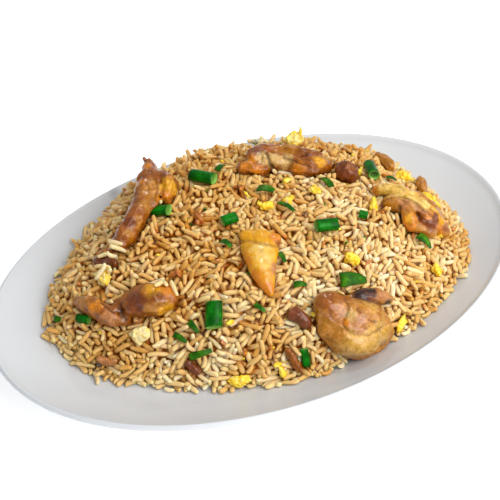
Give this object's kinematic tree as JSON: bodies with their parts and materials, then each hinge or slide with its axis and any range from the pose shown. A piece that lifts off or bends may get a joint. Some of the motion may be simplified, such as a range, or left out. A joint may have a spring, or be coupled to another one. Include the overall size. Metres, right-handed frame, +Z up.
{
  "type": "plate of fried rice",
  "caption": "Oval white plate heaped with fried rice, with pieces of chicken, scrambled egg and cut scallions on top.",
  "frame": {"origin": "middle of the plate's underside, on the plane that it stands on", "axes": "+X along the plate's long axis, +Y across it, +Z up"},
  "size_m": [0.29, 0.201, 0.0615],
  "materials": {
    "porcelain": "glossy white glaze",
    "rice": "cooked rice with a thin film of oil",
    "chicken": "browned meat, wet with oil",
    "chicken_skin": "smooth yellow skin, wet with oil",
    "egg": "soft scrambled egg",
    "scallion": "waxy green leaf"
  },
  "bodies": {
    "root": {"plate": "porcelain", "chicken_drumette": "chicken", "chicken_wing": "chicken", "chicken_thigh": "chicken", "chicken_skin": "chicken_skin", "chicken_top": "chicken", "chicken_arch": "chicken", "chicken_cube": "chicken", "chicken_right_rear": "chicken", "chicken_right_end": "chicken", "chicken_front_small": "chicken", "chicken_left_small": "chicken", "chicken_front_bit": "chicken", "chicken_left_bit": "chicken", "chicken_low_bit": "chicken", "chicken_back_long": "chicken", "chicken_back_round": "chicken", "egg_crest": "egg", "egg_front": "egg", "egg_left": "egg", "egg_left_rear": "egg", "egg_middle": "egg", "egg_right": "egg", "egg_upper": "egg", "egg_behind_arch": "egg", "egg_top": "egg", "egg_beside_arch": "egg", "egg_right_rear": "egg", "egg_back": "egg", "egg_back_right": "egg", "scallion_rear_long": "scallion", "scallion_beside_wing": "scallion", "scallion_upper": "scallion", "scallion_centre": "scallion", "scallion_right_rear": "scallion", "scallion_front_big": "scallion", "scallion_right_ring": "scallion", "scallion_low_ring": "scallion", "scallion_left_ring": "scallion", "scallion_back_a": "scallion", "scallion_back_b": "scallion", "scallion_back_c": "scallion", "scallion_square": "scallion", "scallion_strip": "scallion", "scallion_rear_leaf": "scallion", "scallion_wedge": "scallion", "scallion_leaf": "scallion", "scallion_front_long": "scallion", "scallion_light_strip": "scallion", "scallion_front_leaf": "scallion", "scallion_chip": "scallion", "scallion_edge_leaf": "scallion", "scallion_back_leaf": "scallion", "rice": "rice"}
  },
  "joints": []
}
